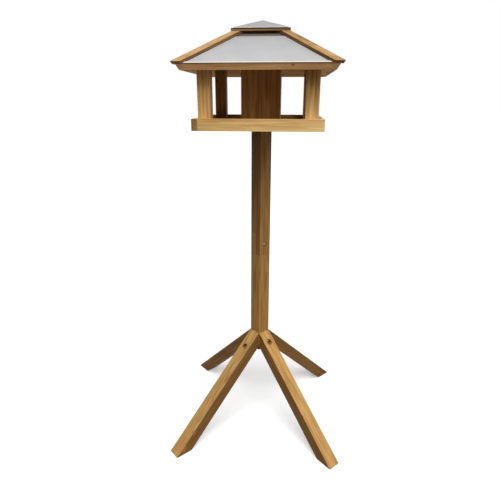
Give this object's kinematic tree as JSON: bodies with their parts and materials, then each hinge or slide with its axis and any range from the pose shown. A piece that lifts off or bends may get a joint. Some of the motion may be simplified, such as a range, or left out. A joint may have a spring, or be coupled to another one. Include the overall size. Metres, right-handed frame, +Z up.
{
  "type": "bird table",
  "caption": "Free-standing wooden bird table with a seed silo, a hipped roof covered in sheet metal, a lift-off cap and a bolted pole on splayed legs",
  "frame": {"origin": "on the ground under the pole's axis, which is the centre of the part's outline in plan", "axes": "+Z is up along the pole; -Y is the front, the side of the tray that the picture shows most squarely; +X is to the right seen from the front"},
  "size_m": [0.593, 0.593, 1.4127],
  "materials": {
    "softwood": "planed and oiled",
    "softwood_inside": "planed and oiled",
    "softwood_silo": "planed and oiled",
    "softwood_roof": "planed and oiled",
    "softwood_pole": "planed and oiled",
    "zinc_sheet": "dull sheet metal",
    "zinc_plated_steel": "zinc plated"
  },
  "bodies": {
    "table": {"floor_board": "softwood_inside", "rim_right": "softwood", "rim_back": "softwood", "rim_left": "softwood", "rim_front": "softwood", "post_back_right": "softwood", "post_back_left": "softwood", "post_front_left": "softwood", "post_front_right": "softwood", "floor_screw_back_right": "zinc_plated_steel", "floor_screw_back_left": "zinc_plated_steel", "floor_screw_front_left": "zinc_plated_steel", "floor_screw_front_right": "zinc_plated_steel", "silo_right": "softwood_silo", "silo_back": "softwood_silo", "silo_left": "softwood_silo", "silo_front": "softwood_silo", "roof_board_right": "softwood_roof", "roof_board_back": "softwood_roof", "roof_board_left": "softwood_roof", "roof_board_front": "softwood_roof", "roof_sheet_right": "zinc_sheet", "roof_sheet_back": "zinc_sheet", "roof_sheet_left": "zinc_sheet", "roof_sheet_front": "zinc_sheet", "hip_batten_back_right": "softwood", "hip_batten_back_left": "softwood", "hip_batten_front_left": "softwood", "hip_batten_front_right": "softwood", "pole_upper": "softwood_pole", "pole_lower": "softwood_pole", "pole_screw_left": "zinc_plated_steel", "pole_screw_right": "zinc_plated_steel", "lap_bolt": "zinc_plated_steel", "lap_nut": "zinc_plated_steel", "lap_washer_head": "zinc_plated_steel", "lap_washer_nut": "zinc_plated_steel", "leg_back_right": "softwood", "leg_back_left": "softwood", "leg_front_left": "softwood", "leg_front_right": "softwood", "leg_high_bolt": "zinc_plated_steel", "leg_high_nut": "zinc_plated_steel", "leg_high_washer_head": "zinc_plated_steel", "leg_high_washer_nut": "zinc_plated_steel", "leg_low_bolt": "zinc_plated_steel", "leg_low_nut": "zinc_plated_steel", "leg_low_washer_head": "zinc_plated_steel", "leg_low_washer_nut": "zinc_plated_steel"},
    "cap": {"cap_board": "softwood_roof", "cap_core": "softwood_roof", "cap_sheet": "zinc_sheet", "cap_cleat_right": "softwood_inside", "cap_cleat_back": "softwood_inside", "cap_cleat_left": "softwood_inside", "cap_cleat_front": "softwood_inside"}
  },
  "joints": [
    {"name": "cap_lift", "type": "slide", "parent": "table", "child": "cap", "axis": [0, 0, 1], "range_m": [0, 0.2]}
  ]
}
